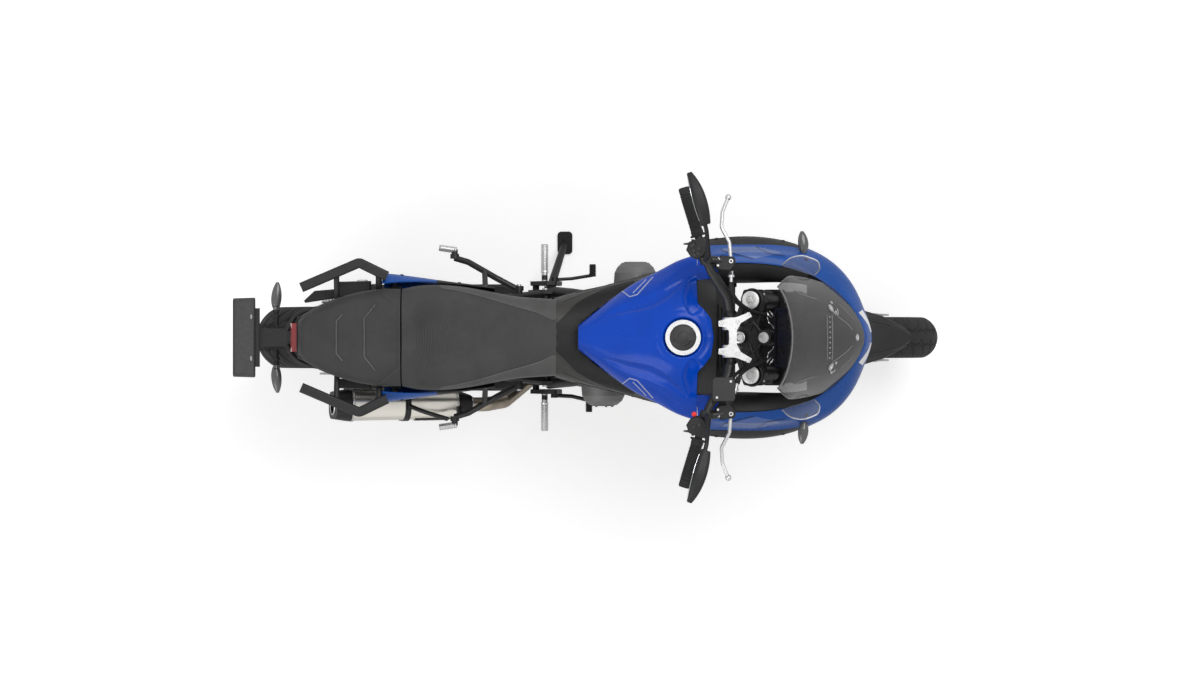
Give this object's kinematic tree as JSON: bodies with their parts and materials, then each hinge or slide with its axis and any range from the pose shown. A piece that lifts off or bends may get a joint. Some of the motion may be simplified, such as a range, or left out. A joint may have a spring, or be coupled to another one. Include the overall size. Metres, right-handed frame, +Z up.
{
  "type": "adventure motorcycle",
  "caption": "Adventure touring motorcycle with half fairing, tall screen, wide bars, cast wheels and a stepped seat, leaning on its side stand.",
  "frame": {"origin": "bottom centre of the box round the parked machine, on the ground", "axes": "+X the way it rides, +Y to the rider's left, the side it leans to, +Z up"},
  "size_m": [2.0826, 0.888, 1.3315],
  "materials": {
    "bare_aluminium": "satin",
    "black_plastic": "fine moulded grain",
    "blue_panel_paint": "gloss painted plastic",
    "blue_tank_paint": "gloss, clear-coated",
    "chain_steel": "oiled",
    "clear_screen": "clear plastic",
    "disc_steel": "ground",
    "engine_grey": "satin heat-resistant paint",
    "exhaust_steel": "brushed",
    "fork_chrome": "hard chrome",
    "grey_plastic": "satin moulded",
    "grip_rubber": "ribbed rubber",
    "instrument_face": "gloss black display",
    "lamp_lens": "clear lens over reflectors",
    "satin_black_metal": "satin powder coat",
    "seat_vinyl": "matt grained vinyl",
    "silver_metal": "bead blasted",
    "smoked_screen": "smoked clear plastic",
    "tyre_rubber": "moulded rubber"
  },
  "bodies": {
    "chassis": {"frame": "satin_black_metal", "swingarm": "satin_black_metal", "rear_axle": "bare_aluminium", "rear_hugger": "black_plastic", "rear_caliper": "satin_black_metal", "engine_case": "engine_grey", "engine_covers": "satin_black_metal", "drive_chain": "chain_steel", "airbox": "black_plastic", "radiator": "black_plastic", "shock": "satin_black_metal", "exhaust_pipes": "exhaust_steel", "silencer": "exhaust_steel", "fuel_tank": "blue_tank_paint", "filler_cap": "silver_metal", "tank_covers": "black_plastic", "rider_seat": "seat_vinyl", "under_tray": "black_plastic", "pillion_seat": "seat_vinyl", "tail_unit": "black_plastic", "tail_cowls": "blue_panel_paint", "grab_rails": "satin_black_metal", "plate_hanger": "black_plastic", "number_plate": "grey_plastic", "signal_lamps": "lamp_lens", "side_fairings": "blue_panel_paint", "fairing_trims": "black_plastic", "nose_fairing": "blue_panel_paint", "headlamps": "lamp_lens", "fairing_stay": "satin_black_metal", "windscreen": "smoked_screen", "side_deflectors": "clear_screen", "instrument_panel": "instrument_face", "footpeg_hangers": "satin_black_metal", "footpegs": "silver_metal", "foot_levers": "bare_aluminium"},
    "fork": {"fork_tubes": "satin_black_metal", "fork_sliders": "fork_chrome", "front_axle": "bare_aluminium", "fork_yokes": "satin_black_metal", "handlebar": "satin_black_metal", "grips": "grip_rubber", "hand_levers": "silver_metal", "lever_perches": "satin_black_metal", "switch_pods": "black_plastic", "mirrors": "black_plastic", "bar_clamp": "silver_metal", "front_mudguard": "black_plastic", "front_calipers": "satin_black_metal"},
    "front_wheel": {"front_tyre": "tyre_rubber", "front_rim": "satin_black_metal", "front_discs": "disc_steel"},
    "rear_wheel": {"rear_tyre": "tyre_rubber", "rear_rim": "satin_black_metal", "rear_disc": "disc_steel", "rear_sprocket": "chain_steel"},
    "side_stand": {"side_stand": "satin_black_metal"}
  },
  "joints": [
    {"name": "steering", "type": "hinge", "parent": "chassis", "child": "fork", "pos_m": [0.46875, -0.06873, 0.82383], "axis": [-0.4032, 0.1589, 0.9012], "range_deg": [-32, 32]},
    {"name": "front_wheel_spin", "type": "hinge", "parent": "fork", "child": "front_wheel", "pos_m": [0.74135, -0.16171, 0.29641], "axis": [-0.0001, 0.9848, -0.1736], "continuous": true},
    {"name": "rear_wheel_spin", "type": "hinge", "parent": "chassis", "child": "rear_wheel", "pos_m": [-0.68065, -0.1591, 0.31167], "axis": [-0.0001, 0.9848, -0.1736], "continuous": true},
    {"name": "side_stand_fold", "type": "hinge", "parent": "chassis", "child": "side_stand", "pos_m": [-0.11967, -0.02452, 0.23393], "axis": [-0.0549, 0.9914, -0.1191], "range_deg": [0, 105]}
  ]
}
